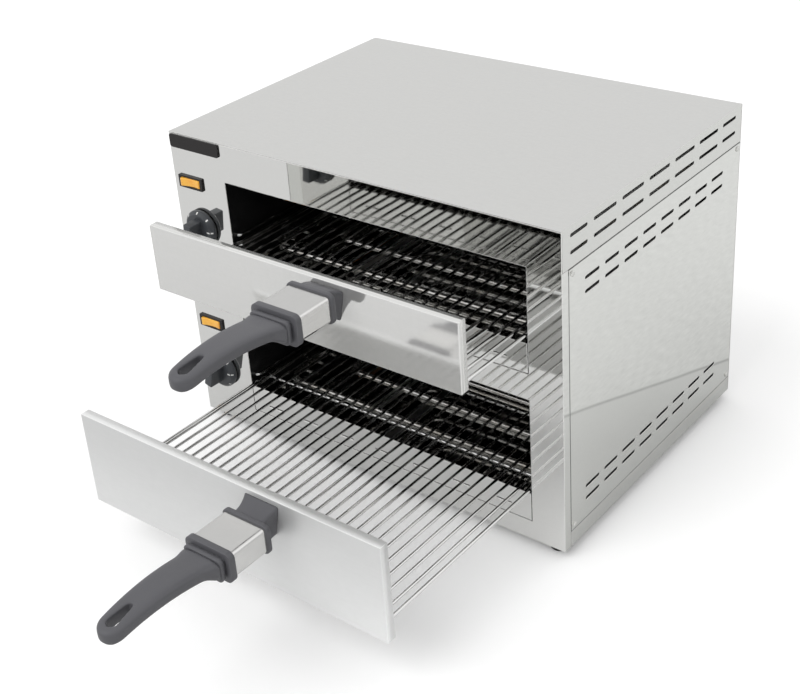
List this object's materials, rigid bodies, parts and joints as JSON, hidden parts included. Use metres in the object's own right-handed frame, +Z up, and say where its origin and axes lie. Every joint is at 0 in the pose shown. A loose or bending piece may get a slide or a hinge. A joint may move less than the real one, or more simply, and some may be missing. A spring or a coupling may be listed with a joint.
{
  "type": "pizza oven",
  "caption": "Double-deck countertop pizza oven in sheet steel with pull-out wire racks behind handled drawer fronts, slotted crumb trays, dial knobs and lit rocker switches.",
  "frame": {"origin": "on the floor, under the middle of the whole outline with both drawers pulled out as stored", "axes": "+X to the right seen from the front, +Y from the handles towards the back, +Z up"},
  "size_m": [0.4636, 0.737, 0.337],
  "materials": {
    "polished_steel": "mirror polished stainless sheet",
    "satin_steel": "satin stainless sheet",
    "brushed_sleeve": "brushed along the sleeve",
    "bright_wire": "bright plated wire",
    "screw_steel": "bright zinc",
    "foot_rubber": "matt",
    "black_liner": "dark satin",
    "heater_tube": "heat-stained sheath",
    "support_steel": "plain strip and wire",
    "pale_ceramic": "unglazed ceramic",
    "copper_sensor": "dull copper",
    "switch_black": "black moulded",
    "thermostat_body": "moulded",
    "knob_black": "satin moulded with white ticks",
    "rocker_amber": "translucent, lit from behind",
    "handle_plastic": "satin moulded"
  },
  "bodies": {
    "case": {"front_panel": "polished_steel", "side_panel_left": "polished_steel", "side_panel_right": "polished_steel", "top_cover": "satin_steel", "back_panel": "satin_steel", "base_pan": "satin_steel", "upper_runners": "bright_wire", "lower_runners": "bright_wire", "case_screws": "screw_steel", "feet": "foot_rubber", "upper_liner": "black_liner", "lower_liner": "black_liner", "upper_top_heater": "heater_tube", "upper_bottom_heater": "heater_tube", "lower_top_heater": "heater_tube", "lower_bottom_heater": "heater_tube", "heater_supports": "support_steel", "heater_bushes": "pale_ceramic", "terminal_block": "pale_ceramic", "upper_sensor": "copper_sensor", "lower_sensor": "copper_sensor", "upper_switch": "switch_black", "lower_switch": "switch_black", "corner_plate": "switch_black", "cable_gland": "switch_black", "upper_thermostat": "thermostat_body", "lower_thermostat": "thermostat_body"},
    "upper_drawer": {"upper_drawer_front": "satin_steel", "upper_drawer_back": "polished_steel", "upper_rack": "bright_wire", "upper_bracket": "handle_plastic", "upper_sleeve": "brushed_sleeve", "upper_grip": "handle_plastic", "upper_bolt": "screw_steel"},
    "lower_drawer": {"lower_drawer_front": "satin_steel", "lower_drawer_back": "polished_steel", "lower_rack": "bright_wire", "lower_bracket": "handle_plastic", "lower_sleeve": "brushed_sleeve", "lower_grip": "handle_plastic", "lower_bolt": "screw_steel"},
    "upper_crumb_tray": {"upper_tray": "polished_steel"},
    "lower_crumb_tray": {"lower_tray": "polished_steel"},
    "upper_dial": {"upper_knob": "knob_black", "upper_shaft": "screw_steel"},
    "lower_dial": {"lower_knob": "knob_black", "lower_shaft": "screw_steel"},
    "upper_button": {"upper_rocker": "rocker_amber"},
    "lower_button": {"lower_rocker": "rocker_amber"}
  },
  "joints": [
    {"name": "upper_drawer_slide", "type": "slide", "parent": "case", "child": "upper_drawer", "axis": [0, -1, 0], "range_m": [-0.0902, 0.16]},
    {"name": "lower_drawer_slide", "type": "slide", "parent": "case", "child": "lower_drawer", "axis": [0, -1, 0], "range_m": [-0.2062, 0.05]},
    {"name": "upper_tray_slide", "type": "slide", "parent": "case", "child": "upper_crumb_tray", "axis": [0, -1, 0], "range_m": [0, 0.24]},
    {"name": "lower_tray_slide", "type": "slide", "parent": "case", "child": "lower_crumb_tray", "axis": [0, -1, 0], "range_m": [0, 0.195]},
    {"name": "upper_knob_turn", "type": "hinge", "parent": "case", "child": "upper_dial", "pos_m": [-0.1984, 0.0265, 0.2378], "axis": [0, 1, 0], "range_deg": [-7, 263]},
    {"name": "lower_knob_turn", "type": "hinge", "parent": "case", "child": "lower_dial", "pos_m": [-0.1984, 0.0265, 0.0702], "axis": [0, 1, 0], "range_deg": [-15, 255]},
    {"name": "upper_switch_rock", "type": "hinge", "parent": "case", "child": "upper_button", "pos_m": [-0.2065, 0.028, 0.286], "axis": [0, 0, 1], "range_deg": [-12, 0]},
    {"name": "lower_switch_rock", "type": "hinge", "parent": "case", "child": "lower_button", "pos_m": [-0.2065, 0.028, 0.1245], "axis": [0, 0, 1], "range_deg": [-12, 0]}
  ]
}
